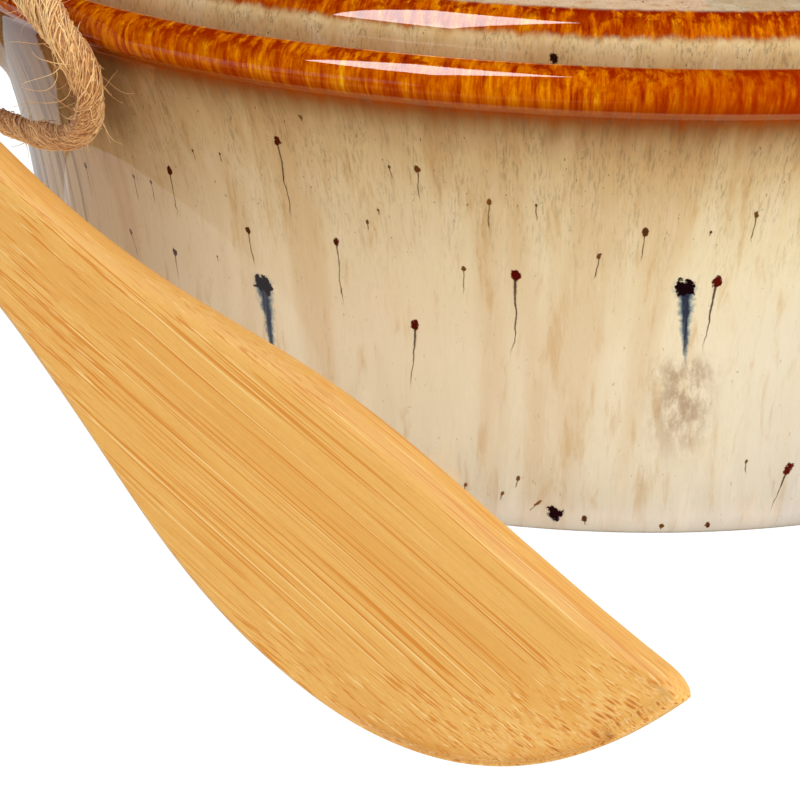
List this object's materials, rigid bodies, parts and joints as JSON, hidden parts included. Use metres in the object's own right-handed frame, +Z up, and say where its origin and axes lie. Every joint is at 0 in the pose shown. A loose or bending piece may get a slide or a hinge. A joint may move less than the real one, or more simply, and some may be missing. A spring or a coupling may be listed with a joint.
{
  "type": "butter crock",
  "caption": "Low round glazed stoneware butter crock with side lugs and a knobbed lid, and a bamboo spreader tied to one lug with jute twine.",
  "frame": {"origin": "The middle of the crock's flat underside, on its axis.", "axes": "+Z is up the crock's axis. +X runs from the lug with the spreader to the plain lug. -Y is the front, where the spreader's blade stands."},
  "size_m": [0.2142, 0.2018, 0.079],
  "materials": {
    "crock_glaze": "glossy reactive glaze, cream with tan streaks, red-brown where it breaks over the rim",
    "lid_glaze": "glossy reactive glaze, cream with tan streaks, red-brown where it breaks over edges",
    "bamboo": "satin, fine straight grain",
    "jute": "rough, fuzzy twisted fibre"
  },
  "bodies": {
    "crock_body": {"crock": "crock_glaze", "twine": "jute", "twine_knot": "jute"},
    "lid_body": {"lid": "lid_glaze"},
    "spreader_body": {"spreader": "bamboo"}
  },
  "joints": [
    {"name": "lid_lift", "type": "slide", "parent": "crock_body", "child": "lid_body", "axis": [0, 0, 1], "range_m": [0, 0.06]},
    {"name": "spreader_swing", "type": "hinge", "parent": "crock_body", "child": "spreader_body", "pos_m": [-0.103, -0.021, 0.051], "axis": [-0.6917, -0.6917, 0.2079], "range_deg": [0, 30]}
  ]
}
